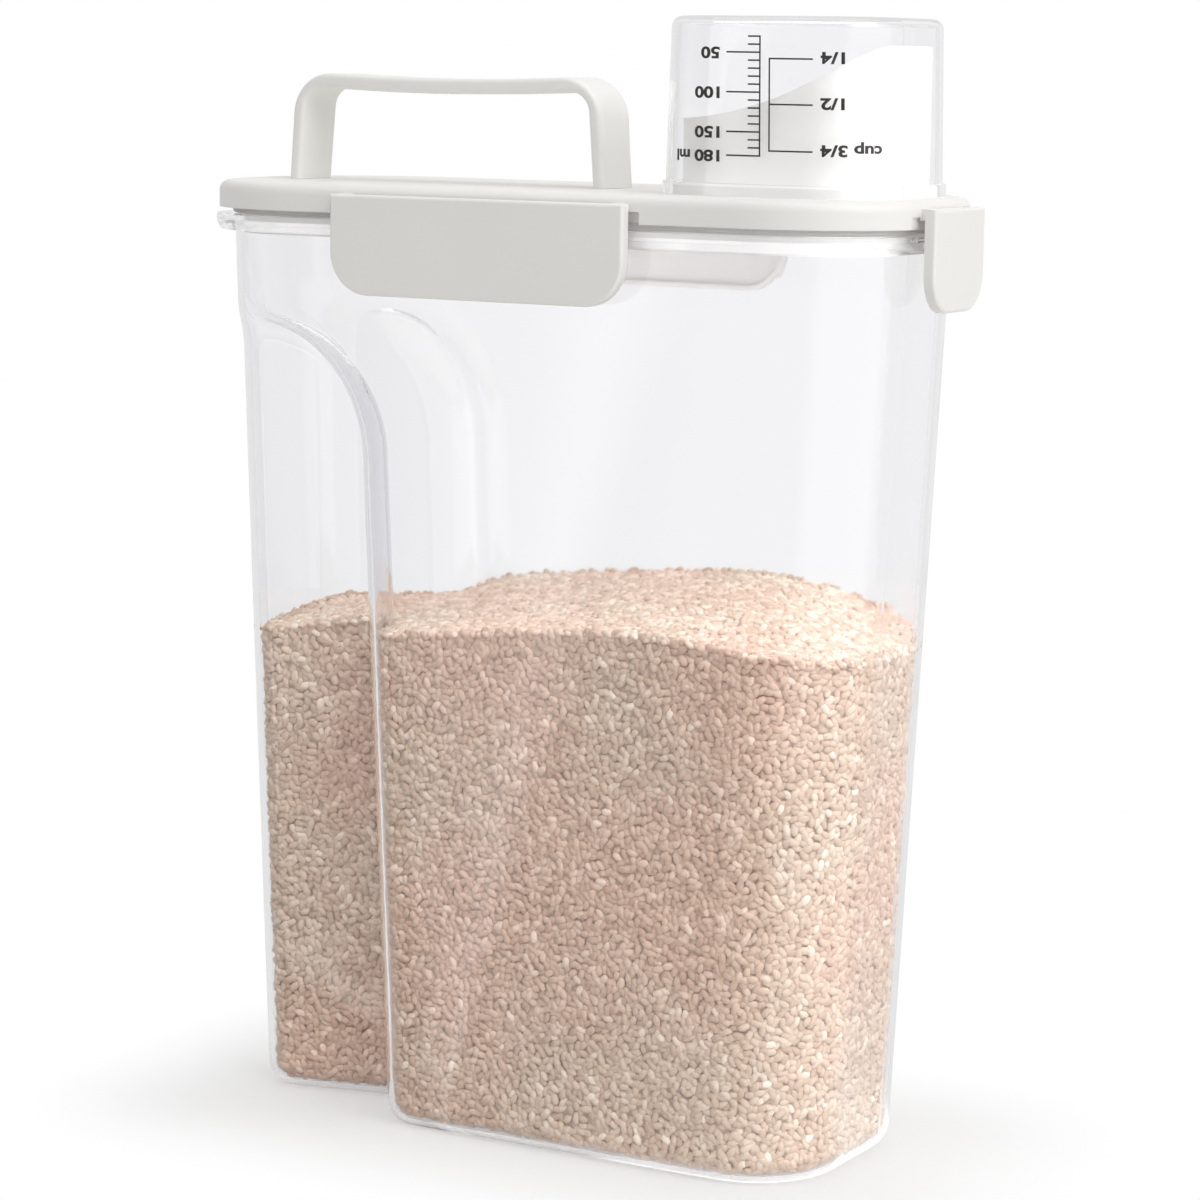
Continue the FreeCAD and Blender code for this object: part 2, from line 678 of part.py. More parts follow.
def lid_lugs(body):
    """Two lugs for each clip, just inside the clip's cheeks."""
    out = "lid_width / 2 + hinge_out"
    near = "clip_width / 2 - lug_in - clip_place"
    far = "-(clip_width / 2 - lug_in + lug_width) - clip_place"
    sides = [lug(body, "spout_side_lug", "YZ_Plane", near, f"-({out})", 1),
             lug(body, "grip_side_lug", "YZ_Plane", far, f"-({out})", 1)]
    mirror(body, "back_lugs", sides, "XZ_Plane")
    end = lug(body, "end_lug", "XZ_Plane", "end_clip_width / 2 - lug_in", "lid_length / 2 + hinge_out", -1)
    mirror(body, "end_lugs", [end], "XZ_Plane")


def spout_seal():
    body = new_body("spout_seal")
    inner = [f"{word} + 2 * seat_clear" for word in ("spout_length", "spout_width")]
    outer = [f"{text} + 2 * seal_width" for text in inner]
    corner = "spout_corner + seat_clear"
    profile = ring(body, "seal_outline", "lid_top", (*outer, f"{corner} + seal_width"), (*inner, corner),
                   across="spout_place")
    solid = pad(body, profile, "seal_ring", "seal_height")
    top = edges_where(solid, lambda point: abs(point.z - value("lid_top + seal_height")) < 1e-4)
    fillet(body, "seal_shoulders", solid, top, "seal_round")
    return body


def handle():
    """The strap: a sagging bar on two leaning legs, with barbed tongues through the lid."""
    body = new_body("handle")
    strap = new_sketch(body, "strap_outline", "XZ_Plane", across="-handle_place", up="handle_foot")
    foot, crown = "(handle_span / 2)", "(handle_span / 2 - handle_lean)"
    inner_foot, inner_crown = f"({foot} - handle_leg)", f"({crown} - handle_leg)"
    under = "handle_rise - handle_bar"
    bar_top, bar_foot = sagging(strap, crown, "handle_rise"), sagging(strap, inner_crown, under)
    for sign, end in (("", 2), ("-", 1)):
        stops = [(f"{sign}{crown}", "handle_rise"), (f"{sign}{foot}", "0"), (f"{sign}{inner_foot}", "0"),
                 (f"{sign}{inner_crown}", under)]
        first = chain(strap, stops)
        strap.addConstraint(Sketcher.Constraint("Coincident", bar_top, end, first, 1))
        strap.addConstraint(Sketcher.Constraint("Coincident", bar_foot, end, first + 2, 2))
    form = pad(body, strap, "strap", "handle_width", middle=True)
    for name, corner, level, radius in (("strap_bends", crown, "handle_rise", "handle_bend"),
                                        ("strap_crooks", inner_crown, under, "handle_crook")):
        up = value(f"handle_foot + {level}")
        points = [Vector(value(f"{sign}{corner} - handle_place"), 0, up) for sign in ("", "-")]
        form = fillet(body, name, form, [edge_nearest(form, point) for point in points], radius)
    side, sole = value("handle_width / 2"), value("handle_foot")
    rims = edges_where(form, lambda point: abs(abs(point.y) - side) < 1e-4)
    feet = edges_where(form, lambda point: abs(point.z - sole) < 1e-4)
    fillet(body, "strap_edges", form, [rim for rim in rims if rim not in feet], "handle_round")
    handle_tongues(body)
    return body


def handle_tongues(body):
    """Two tongues below the strap, each with a barb that catches under the lid."""
    tongues = new_sketch(body, "tongue_outline", level="handle_foot", across="-handle_place")
    for sign in ("", "-"):
        centre = f"{sign}tongue_place"
        rectangle(tongues, f"{centre} - tongue_thick / 2", f"{centre} + tongue_thick / 2",
                  "-tongue_width / 2", "tongue_width / 2")
    pad(body, tongues, "tongues", "lid_skin + seat_clear + tongue_reach", reverse=True)
    barbs = new_sketch(body, "barb_outline", "XZ_Plane", None, "-handle_place", "lid_ceiling - seat_clear")
    root, tip = "tongue_place + tongue_thick / 2", "tongue_place + tongue_thick / 2 + barb_out"
    core, foot = "tongue_place", "-(tongue_reach - 2 * seat_clear)"
    polygon(barbs, [(core, "0"), (tip, "0"), (root, foot), (core, foot)])
    polygon(barbs, [(f"-({core})", "0"), (f"-({tip})", "0"), (f"-({root})", foot), (f"-({core})", foot)])
    pad(body, barbs, "barbs", "barb_width", middle=True)


def clip(name, width, corner, bead):
    """A clip in its own frame: hinge axis along X through the origin, outer face towards -Y."""
    body = new_body(name)
    half, inner = f"({width} / 2)", f"({width} / 2 - clip_wall)"
    plate = new_sketch(body, "plate_outline", "XZ_Plane", level="clip_out")
    apron(plate, half, "-clip_foot", "clip_top", corner)
    form = pad(body, plate, "plate", "clip_depth", reverse=True)
    face = -value("clip_out")
    rim = edges_where(form, lambda point: abs(point.y - face) < 1e-4)
    fillet(body, "face_edges", form, rim, "clip_round")
    tray = new_sketch(body, "tray_outline", "XZ_Plane", level="-clip_back")
    apron(tray, inner, "-(clip_foot - clip_wall)", "-clip_top", f"{corner} - clip_wall")
    pocket(body, tray, "tray", "clip_depth - clip_face", reverse=True)
    slots = new_sketch(body, "slot_outline", "XZ_Plane", level="-clip_back")
    for near, far in ((f"{inner} - slot_width", inner), (f"-{inner}", f"-({inner} - slot_width)")):
        rectangle(slots, near, far, "-clip_top", "clip_top + cut_over")
    pocket(body, slots, "lug_slots", "clip_depth - clip_face", reverse=True)
    clip_pins(body, inner)
    clip_bead(body, bead)
    return body


def clip_pins(body, inner):
    """Stub pins that snap into the lid's lugs from both cheeks."""
    pin = new_sketch(body, "pin_outline", "YZ_Plane", level=f"{inner} - lug_width")
    circle_about_origin(pin, "pin_radius")
    stub = pad(body, pin, "stub_pin", "lug_width + clip_wall / 2")
    mirror(body, "stub_pins", [stub], "YZ_Plane")


def clip_bead(body, length):
    """The catch: a wedge whose upper face lies along the bevel under the rim, a clearance away."""
    slope = "sqrt(catch_run * catch_run + catch_rise * catch_rise)"
    back, drop = f"bead_clear * catch_rise / {slope}", f"bead_clear * catch_run / {slope}"
    lip, sill = "hinge_out - rim_over", "hinge_level - rim_foot"
    top = (f"{lip} - {back}", f"-({sill} - catch_rise + {drop})")
    tip = (f"{lip} + catch_run - {back}", f"-({sill} + {drop})")
    root = "-(clip_out - clip_face / 2)"
    wedge = new_sketch(body, "bead_outline", "YZ_Plane")
    polygon(wedge, [(root, top[1]), top, tip, (root, f"{tip[1]} - bead_foot")])
    pad(body, wedge, "bead", length, middle=True)


def hang(body, across, along, turn):
    """Puts a clip on its hinge at the lid's edge."""
    body.Placement.Rotation = Rotation(Vector(0, 0, 1), turn)
    bind(body, "Placement.Base.x", across)
    bind(body, "Placement.Base.y", along)
    bind(body, "Placement.Base.z", "hinge_level")
    return body


def clips():
    side, end = "lid_width / 2 + hinge_out", "lid_length / 2 + hinge_out"
    long_clip = ("clip_width", "clip_corner", "clip_bead")
    short_clip = ("end_clip_width", "end_clip_corner", "end_clip_bead")
    return [hang(clip("front_clip", *long_clip), "-clip_place", f"-({side})", 0),
            hang(clip("back_clip", *long_clip), "-clip_place", side, 180),
            hang(clip("end_clip", *short_clip), end, "0", 90)]


def measuring_cup():
    body = new_body("measuring_cup")
    mouth = new_sketch(body, "cup_mouth", level="cup_foot", across="spout_place")
    rounded_rectangle(mouth, "cup_length", "cup_width", "cup_corner")
    form = pad(body, mouth, "cup_form", "cup_height")
    bind(form, "TaperAngle", "-atan(cup_taper / cup_height)")
    doc.recompute()
    outer = ("cup_length + 2 * cup_rim_over", "cup_width + 2 * cup_rim_over", "cup_corner + cup_rim_over")
    bore = ("cup_length - 2 * cup_wall", "cup_width - 2 * cup_wall", "cup_corner - cup_wall")
    inside = new_sketch(body, "cup_bore", level="cup_foot", across="spout_place")
    rounded_rectangle(inside, *bore)
    hollow = pocket(body, inside, "cup_hollow", "cup_height - cup_wall", reverse=True)
    bind(hollow, "TaperAngle", "-atan(cup_taper / cup_height)")
    doc.recompute()
    roof = value("cup_foot + cup_height")
    ceiling = edges_where(hollow, lambda point: abs(point.z - roof + value("cup_wall")) < 1e-4)
    form = fillet(body, "hollow_round", hollow, ceiling, "cup_round - cup_wall")
    top = edges_where(form, lambda point: abs(point.z - roof) < 1e-4)
    fillet(body, "crown_round", form, top, "cup_round")
    brim = pad(body, ring(body, "brim_outline", "cup_foot", outer, bore, across="spout_place"), "brim",
               "cup_rim_height")
    level, reach = value("cup_foot + cup_rim_height"), value("cup_length / 2 + cup_rim_over / 2")
    half = value("cup_width / 2 + cup_rim_over / 2")

    def on_brim(point):
        across, along = abs(point.x - value("spout_place")), abs(point.y)
        over = max(across - reach + value("cup_corner"), 0), max(along - half + value("cup_corner"), 0)
        return abs(point.z - level) < 1e-4 and math.hypot(*over) > value("cup_corner")

    fillet(body, "brim_round", brim, edges_where(brim, on_brim), "cup_rim_round")
    return body


def check_and_export(pieces):
    """Makes sure that every object built and every piece is one valid solid, then writes the pieces."""
    for item in doc.Objects:
        if "Invalid" in item.State or "Error" in item.State:
            raise RuntimeError(f"{item.Label} is {item.State}")
    os.makedirs("parts", exist_ok=True)
    for piece in pieces:
        shape = piece.Shape
        if shape.isNull() or not shape.isValid() or len(shape.Solids) != 1:
            raise RuntimeError(f"{piece.Label} is not one valid solid")
        shape.exportStep(f"parts/{piece.Label}.step")
        box = shape.optimalBoundingBox()
        print(f"{piece.Label:15} {shape.Volume / 1000:6.1f} cm3, x {box.XMin:.1f} to {box.XMax:.1f}, "
              f"y {box.YMin:.1f} to {box.YMax:.1f}, z {box.ZMin:.1f} to {box.ZMax:.1f}")


pieces = [container_body(), lid(), lid_gasket(), spout_seal(), handle(), *clips(), measuring_cup()]
doc.recompute()
check_and_export(pieces)
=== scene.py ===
# %% [markdown]
# # A rice storage container
# A clear hopper holds short-grain rice. Its white lid carries a strap handle, three clips and a pour spout,
# and a clear measuring cup sits upside down over the spout. The CAD parts come in as a fixed frame, in
# metres, with the origin at the middle of the base. This lesson gives them their materials, fills the
# hopper with rice and prints the scale on the cup.

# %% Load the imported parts
import math

import bmesh
import bpy
from mathutils import Matrix, Vector


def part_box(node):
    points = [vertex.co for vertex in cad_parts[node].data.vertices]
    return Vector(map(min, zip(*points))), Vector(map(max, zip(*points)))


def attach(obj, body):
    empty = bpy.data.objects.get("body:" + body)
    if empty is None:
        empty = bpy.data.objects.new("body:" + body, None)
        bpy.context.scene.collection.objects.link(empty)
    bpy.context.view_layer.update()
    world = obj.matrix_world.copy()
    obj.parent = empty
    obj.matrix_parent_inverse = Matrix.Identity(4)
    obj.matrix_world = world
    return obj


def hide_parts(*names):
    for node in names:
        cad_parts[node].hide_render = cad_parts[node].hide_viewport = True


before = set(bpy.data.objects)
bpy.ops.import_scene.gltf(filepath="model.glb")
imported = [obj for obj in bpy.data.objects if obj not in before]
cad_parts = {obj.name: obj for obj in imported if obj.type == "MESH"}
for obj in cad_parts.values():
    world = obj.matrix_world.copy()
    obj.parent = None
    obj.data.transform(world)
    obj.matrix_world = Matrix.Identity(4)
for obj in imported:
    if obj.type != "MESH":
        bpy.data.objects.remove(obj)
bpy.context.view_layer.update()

MM = 0.001
WELD = 0.002 * MM

# %% [markdown]
# ## Two small helpers
# Colours are easiest to read as the hex codes a designer would write down, but shaders work in linear
# light, so one function converts them. A second one adds any node with its settings and links in a single
# line, which keeps every material below short enough to read at a glance.


# %% Colours and nodes
def linear(code):
    """The linear colour of an sRGB hex code."""
    channels = [int(code[at:at + 2], 16) / 255 for at in (1, 3, 5)]
    return (*(c / 12.92 if c <= 0.04045 else ((c + 0.055) / 1.055) ** 2.4 for c in channels), 1.0)


def node(tree, kind, inputs=None, **settings):
    """Adds one node; an input takes a plain value or another node's output."""
    new = tree.nodes.new(kind)
    for word, setting in settings.items():
        setattr(new, word, setting)
    for word, given in (inputs or {}).items():
        if isinstance(given, bpy.types.NodeSocket):
            tree.links.new(given, new.inputs[word])
        else:
            new.inputs[word].default_value = given
    return new


def blank_material(name):
    material = bpy.data.materials.new(name)
    material.use_nodes = True
    material.node_tree.nodes.clear()
    return material, material.node_tree


print("white reads", [round(c, 2) for c in linear("#F2F1EE")])

# %% [markdown]
# ## The camera
# A product picture like this is taken from a little above with a long lens, so that the walls stay nearly
# upright. The lens sits a metre and a quarter away, to the right of the front, and its frame is shifted
# instead of tilted. The matrix is built from the three directions of the view, with the slight roll of the
# picture turned into the first two.

# %% Place the camera
AZIMUTH, ELEVATION, ROLL = (math.radians(angle) for angle in (29.46, 9.57, 0.83))
AIM, DISTANCE = Vector((0, 0, 0.150)), 1.22668
SENSOR, FOCAL, SHIFT_X, SHIFT_Y = 36.0, 110.33, 0.0187, 0.0667
level_share = math.cos(ELEVATION)
back = Vector((math.sin(AZIMUTH) * level_share, -math.cos(AZIMUTH) * level_share, math.sin(ELEVATION)))
right = Vector((math.cos(AZIMUTH), math.sin(AZIMUTH), 0))
up = back.cross(right)
across = right * math.cos(ROLL) + up * math.sin(ROLL)
upright = up * math.cos(ROLL) - right * math.sin(ROLL)

lens = bpy.data.cameras.new("product_camera")
lens.sensor_fit, lens.sensor_width, lens.lens = "HORIZONTAL", SENSOR, FOCAL
lens.shift_x, lens.shift_y = SHIFT_X, SHIFT_Y
camera = bpy.data.objects.new("product_camera", lens)
facing_aim = Matrix((across, upright, back)).transposed().to_4x4()
camera.matrix_world = Matrix.Translation(AIM + back * DISTANCE) @ facing_aim
bpy.context.scene.collection.objects.link(camera)
bpy.context.scene.camera = camera
bpy.context.scene.view_settings.view_transform = "Standard"
print("camera stands at", [round(c, 3) for c in camera.matrix_world.translation])

# %% [markdown]
# ## The studio
# Clear plastic shows only what is around it. In a room that is white all over its walls would vanish, so a
# photographer stands white screens and dark cards around a glass. Here they are a ring: a ramp that gives
# the brightness for every direction around the object, counted from straight behind it. Narrow screens make
# the upright bands of light on the flat front. Mirror images read that ring. What is seen through the walls
# reads a second, calmer ramp, so that the object doesn't stand in front of a glaring screen when one walks
# round it.
#
# What stands inside the clear walls, such as the rice, needs more light than the ring gives. Its light
# paths have already bounced off a matt surface, which the ring can tell, and for them it is brightest from
# the right and above.

# %% Set up the ring of screens
SCREENS = (  # degrees to the right of straight behind the object, brightness in mirror images
    (-180, 0.9), (-123.3, 0.9), (-122.9, 3.0), (-122.1, 3.0), (-121.7, 1.65), (-119.6, 1.65), (-118.8, 0.0),
    (-118.35, 0.0), (-118.15, 1.2), (-117.85, 1.2), (-117.65, 0.0), (-100, 0.6), (-82, 1.0), (-70, 0.8),
    (-32, 0.8), (84, 0.8), (102, 2.3), (160, 2.3), (176, 0.9), (180, 0.9),
)
BACKDROP = (  # the same for what is seen through the walls
    (-180, 0.88), (-32, 0.82), (-16, 0.88), (-5.2, 0.96), (-2.5, 0.97), (-0.5, 0.98), (1.3, 1.0), (2.6, 1.02),
    (20, 1.02), (40, 0.86), (180, 0.88),
)
INNER_LEAST, INNER_MOST, INNER_FROM = 0.52, 2.4, Vector((0.50, -0.14, 0.86)).normalized()
ANY_BOUNCE = 0.5
ring = bpy.data.node_groups.new("ring_of_screens", "ShaderNodeTree")
ring.interface.new_socket("Direction", in_out="INPUT", socket_type="NodeSocketVector")
ring.interface.new_socket("Brightness", in_out="OUTPUT", socket_type="NodeSocketFloat")
given = node(ring, "NodeGroupInput").outputs[0]
heading = node(ring, "ShaderNodeVectorMath", {0: given}, operation="NORMALIZE").outputs[0]
behind = Vector((-back.x, -back.y, 0)).normalized()
sideways = node(ring, "ShaderNodeVectorMath", {0: heading, 1: right}, operation="DOT_PRODUCT").outputs[1]
ahead = node(ring, "ShaderNodeVectorMath", {0: heading, 1: behind}, operation="DOT_PRODUCT").outputs[1]
bearing = node(ring, "ShaderNodeMath", {0: sideways, 1: ahead}, operation="ARCTAN2").outputs[0]
turn = node(ring, "ShaderNodeMapRange", {0: bearing, "From Min": -math.pi, "From Max": math.pi}).outputs[0]
levels = []
for stops in (SCREENS, BACKDROP):  # a ramp holds nothing brighter than 1, so it is scaled down and up again
    brightest = max(value for angle, value in stops)
    ramp = node(ring, "ShaderNodeValToRGB", {"Fac": turn})
    ramp.color_ramp.interpolation = "EASE"
    for stop in stops[1:-1]:
        ramp.color_ramp.elements.new((stop[0] + 180) / 360)
    for element, (angle, value) in zip(ramp.color_ramp.elements, stops):
        element.position = (angle + 180) / 360
        element.color = (*[value / brightest] * 3, 1)
    levels.append(node(ring, "ShaderNodeMath", {0: ramp.outputs[0], 1: brightest},
                       operation="MULTIPLY").outputs[0])
kind = node(ring, "ShaderNodeLightPath").outputs
level = node(ring, "ShaderNodeMix", {0: kind["Is Transmission Ray"], 2: levels[0], 3: levels[1]},
             data_type="FLOAT").outputs[0]
facing = node(ring, "ShaderNodeVectorMath", {0: heading, 1: INNER_FROM}, operation="DOT_PRODUCT").outputs[1]
inner = node(ring, "ShaderNodeMapRange", {"Value": facing, "To Min": INNER_LEAST, "To Max": INNER_MOST},
             interpolation_type="SMOOTHSTEP").outputs[0]
bounced = node(ring, "ShaderNodeMath", {0: kind["Diffuse Depth"], 1: ANY_BOUNCE},
               operation="GREATER_THAN").outputs[0]
brightness = node(ring, "ShaderNodeMix", {0: bounced, 2: level, 3: inner}, data_type="FLOAT").outputs[0]
node(ring, "NodeGroupOutput", {0: brightness})
print("ring of", len(SCREENS), "stops, backdrop of", len(BACKDROP))

# %% [markdown]
# Matt surfaces outside the walls get an even light from all round instead, and the camera itself sees plain
# white. A light path that has gone straight through both faces of a wall is taken to come from inside.

# %% Surround the object with the ring
EVEN_LIGHT, BOTH_FACES = 0.54, 1.5
world = bpy.data.worlds.new("studio")
world.use_nodes = True
sky = world.node_tree
sky.nodes.clear()
ray = node(sky, "ShaderNodeLightPath").outputs
heading = node(sky, "ShaderNodeTexCoord").outputs["Generated"]
screens = node(sky, "ShaderNodeGroup", {}, node_tree=ring)
sky.links.new(heading, screens.inputs[0])
bent = node(sky, "ShaderNodeMath", {0: ray["Is Glossy Ray"], 1: ray["Is Transmission Ray"]},
            operation="MAXIMUM").outputs[0]
through = node(sky, "ShaderNodeMath", {0: ray["Transparent Depth"], 1: BOTH_FACES},
               operation="GREATER_THAN").outputs[0]
mirrored = node(sky, "ShaderNodeMath", {0: bent, 1: through}, operation="MAXIMUM").outputs[0]
seen = node(sky, "ShaderNodeMix", {0: mirrored, 2: EVEN_LIGHT, 3: screens.outputs[0]},
            data_type="FLOAT").outputs[0]
shown = node(sky, "ShaderNodeMix", {0: ray["Is Camera Ray"], 2: seen, 3: 1.0}, data_type="FLOAT").outputs[0]
glow = node(sky, "ShaderNodeBackground", {"Color": linear("#FFFFFF"), "Strength": shown})
node(sky, "ShaderNodeOutputWorld", {"Surface": glow.outputs[0]})
bpy.context.scene.world = world
print("even light", EVEN_LIGHT, "outside, up to", INNER_MOST, "inside")

# %% [markdown]
# ## Soft boxes
# One large soft box hangs over the spout end, so that the short end is lighter than the long front. A
# second one above the container brightens the top of the lid.


# %% Hang the soft boxes
def soft_box(name, place, side, watts):
    lamp = bpy.data.lights.new(name, "AREA")
    lamp.size, lamp.energy = side, watts
    box = bpy.data.objects.new(name, lamp)
    spot = Vector(place)
    box.matrix_world = Matrix.Translation(spot) @ (spot - AIM).to_track_quat("Z", "Y").to_matrix().to_4x4()
    bpy.context.scene.collection.objects.link(box)
    print(f"{name}: {side} m wide, {watts} W")


soft_box("key_box", (1.06, -0.28, 1.15), 0.9, 7.5)
soft_box("top_box", (0.0, 0.1, 1.5), 1.1, 3.6)

# %% [markdown]
# ## The floor
# The object stands on a seamless pale sheet that is lit from below, as on a light table. Close to the
# object's footprint enough of it is matt paper to take a soft shadow. Further out it fades to the white of
# the background, so that no horizon line shows behind the cup. In mirror images it fades to the ring of
# screens.

# %% Roll out the floor
FOOT_LONG, FOOT_WIDE, SHADOW = 0.105, 0.043, 0.08
LEAST_GLOW, HALF_SHEET, FIBRE = 0.45, 4.0, 3 * MM
sheet_mesh = bpy.data.meshes.new("floor")
form = bmesh.new()
bmesh.ops.create_grid(form, x_segments=2, y_segments=2, size=HALF_SHEET)
form.to_mesh(sheet_mesh)
form.free()
floor = bpy.data.objects.new("floor", sheet_mesh)
bpy.context.scene.collection.objects.link(floor)

paper, tree = blank_material("matt_white_paper")
spot = node(tree, "ShaderNodeTexCoord").outputs["Object"]
mirror_half = node(tree, "ShaderNodeVectorMath", {0: spot}, operation="ABSOLUTE").outputs[0]
past = node(tree, "ShaderNodeVectorMath", {0: mirror_half, 1: (FOOT_LONG, FOOT_WIDE, 0)},
            operation="SUBTRACT").outputs[0]
outside = node(tree, "ShaderNodeVectorMath", {0: past, 1: (0, 0, 0)}, operation="MAXIMUM").outputs[0]
reach = node(tree, "ShaderNodeVectorMath", {0: outside}, operation="LENGTH").outputs["Value"]
fade = node(tree, "ShaderNodeMapRange", {"Value": reach, "From Max": SHADOW, "To Min": LEAST_GLOW},
            interpolation_type="SMOOTHSTEP").outputs[0]
fibres = node(tree, "ShaderNodeTexNoise", {"Vector": spot, "Scale": 1 / FIBRE, "Detail": 2.0}).outputs[0]
tone = node(tree, "ShaderNodeMix", {0: fibres, 6: linear("#F6F6F5"), 7: linear("#FAFAFA")},
            data_type="RGBA").outputs[2]
matt = node(tree, "ShaderNodeBsdfDiffuse", {"Color": tone})
path = node(tree, "ShaderNodeLightPath").outputs
screens = node(tree, "ShaderNodeGroup", {}, node_tree=ring)
tree.links.new(spot, screens.inputs[0])
mirrored = node(tree, "ShaderNodeMath", {0: path["Is Glossy Ray"], 1: path["Is Transmission Ray"]},
                operation="MAXIMUM").outputs[0]
shown = node(tree, "ShaderNodeMix", {0: path["Is Camera Ray"], 2: screens.outputs[0], 3: 1.0},
             data_type="FLOAT").outputs[0]
lit = node(tree, "ShaderNodeEmission", {"Color": linear("#FFFFFF"), "Strength": shown})
direct = node(tree, "ShaderNodeMath", {0: mirrored, 1: path["Is Camera Ray"]}, operation="MAXIMUM").outputs[0]
share = node(tree, "ShaderNodeMath", {0: direct, 1: fade}, operation="MULTIPLY").outputs[0]
mixed = node(tree, "ShaderNodeMixShader", {0: share, 1: matt.outputs[0], 2: lit.outputs[0]})
node(tree, "ShaderNodeOutputMaterial", {"Surface": mixed.outputs[0]})
sheet_mesh.materials.append(paper)
print("floor is", [round(side, 1) for side in floor.dimensions])

# %% [markdown]
# ## White polypropylene
# Lid, handle and clips are injection-moulded polypropylene: a warm white with a satin skin, because the
# mould was spark-eroded to a fine grain. The grain is about half a millimetre, too fine to see one by one,
# so it mostly widens the highlights. The colour drifts very slightly over some centimetres, as it does
# where the melt has flowed.

# %% Make the white polypropylene
GRAIN, FLOW = 0.5 * MM, 45 * MM
satin_white, tree = blank_material("satin_white_polypropylene")
spot = node(tree, "ShaderNodeTexCoord").outputs["Object"]
drift = node(tree, "ShaderNodeTexNoise", {"Vector": spot, "Scale": 1 / FLOW, "Detail": 2.0}).outputs[0]
grain = node(tree, "ShaderNodeTexNoise", {"Vector": spot, "Scale": 1 / GRAIN, "Detail": 2.0}).outputs[0]
white = node(tree, "ShaderNodeMix", {0: drift, 6: linear("#EFEEEA"), 7: linear("#F5F4F1")},
             data_type="RGBA").outputs[2]
satin = node(tree, "ShaderNodeMapRange", {"Value": grain, "To Min": 0.34, "To Max": 0.50}).outputs[0]
skin = node(tree, "ShaderNodeBump", {"Height": grain, "Strength": 0.10, "Distance": 0.05 * MM}).outputs[0]
shell = node(tree, "ShaderNodeBsdfPrincipled",
             {"Base Color": white, "Roughness": satin, "Normal": skin, "IOR": 1.49})
node(tree, "ShaderNodeOutputMaterial", {"Surface": shell.outputs[0]})
print("made", satin_white.name)

# %% [markdown]
# ## Clear plastic
# The hopper and the cup are clear polystyrene-like plastic, polished by the mould. It is not quite
# colourless: a thick edge looks cool grey. A refracting shader gives those edges by itself, because the
# walls are real solids. Two kinds of light would get lost in it, so they pass straight through with a
# slight shade: rays towards a lamp, and rays that a rim or the cup's crown has trapped for many bounces.
# The cup takes more from the lamps, so that the spout in it stays soft. Faint flow marks in the surface
# keep the reflections from being perfectly straight.

# %% Make the clear plastics
TRAPPED, DULLEST = 3.5, 2.5


def clear_plastic(name, tint, shade, polish, flow_mm):
    material, tree = blank_material(name)
    path = node(tree, "ShaderNodeLightPath").outputs
    spot = node(tree, "ShaderNodeTexCoord").outputs["Object"]
    flow = node(tree, "ShaderNodeTexNoise",
                {"Vector": spot, "Scale": 1 / (flow_mm * MM), "Detail": 1.0}).outputs[0]
    gloss = node(tree, "ShaderNodeMapRange",
                 {0: flow, "To Min": polish, "To Max": DULLEST * polish}).outputs[0]
    ripple = node(tree, "ShaderNodeBump",
                  {"Height": flow, "Strength": 0.05, "Distance": 0.005 * MM}).outputs[0]
    wall = node(tree, "ShaderNodeBsdfPrincipled",
                {"Base Color": linear(tint), "Roughness": gloss, "Normal": ripple, "IOR": 1.46,
                 "Transmission Weight": 1.0})
    lamp = path["Is Shadow Ray"]
    colour = node(tree, "ShaderNodeMix", {0: lamp, 6: linear(tint), 7: linear(shade)},
                  data_type="RGBA").outputs[2]
    passed = node(tree, "ShaderNodeBsdfTransparent", {"Color": colour})
    trapped = node(tree, "ShaderNodeMath", {0: path["Ray Depth"], 1: TRAPPED},
                   operation="GREATER_THAN").outputs[0]
    straight = node(tree, "ShaderNodeMath", {0: lamp, 1: trapped}, operation="MAXIMUM").outputs[0]
    seen = node(tree, "ShaderNodeMixShader", {0: straight, 1: wall.outputs[0], 2: passed.outputs[0]})
    node(tree, "ShaderNodeOutputMaterial", {"Surface": seen.outputs[0]})
    print("made", name)
    return material


clear_hopper = clear_plastic("clear_moulded_styrene", "#F9F9FA", "#F9F9FA", 0.03, 30)
clear_cup = clear_plastic("clear_cup_styrene", "#F8F8F9", "#B4B4B6", 0.03, 18)

# %% [markdown]
# ## Silicone
# Two soft rings are moulded from silicone. Silicone is matt and takes up dust, so its colour is uneven in
# fine specks and its highlights are broad.

# %% Make the silicone
SPECK = 1.2 * MM
white_silicone, tree = blank_material("white_silicone")
spot = node(tree, "ShaderNodeTexCoord").outputs["Object"]
dust = node(tree, "ShaderNodeTexNoise", {"Vector": spot, "Scale": 1 / SPECK, "Detail": 4.0}).outputs[0]
colour = node(tree, "ShaderNodeMix", {0: dust, 6: linear("#DAD9D5"), 7: linear("#E4E3E0")},
              data_type="RGBA").outputs[2]
matt = node(tree, "ShaderNodeMapRange", {"Value": dust, "To Min": 0.55, "To Max": 0.75}).outputs[0]
rubber = node(tree, "ShaderNodeBsdfPrincipled", {"Base Color": colour, "Roughness": matt, "IOR": 1.41})
node(tree, "ShaderNodeOutputMaterial", {"Surface": rubber.outputs[0]})
print("made", white_silicone.name)

# %% [markdown]
# ## Dress the CAD parts
# The rigid solids already have the right shapes, so each one only swaps its plain material for one of those
# above.

# %% Assign the materials
FINISHES = {
    "container_body": clear_hopper, "measuring_cup": clear_cup, "lid": satin_white, "handle": satin_white,
    "front_clip": satin_white, "back_clip": satin_white, "end_clip": satin_white,
}
for part, finish in FINISHES.items():
    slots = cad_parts[part].data.materials
    slots.clear()
    slots.append(finish)
print("dressed", len(FINISHES), "parts")

# %% [markdown]
# ## The soft rings
# The gasket under the lid and the seal round the spout are soft, so a skin takes the place of each solid:
# the facets are welded into one surface that is shaded smooth, with a crease only where the section has a
# real edge.

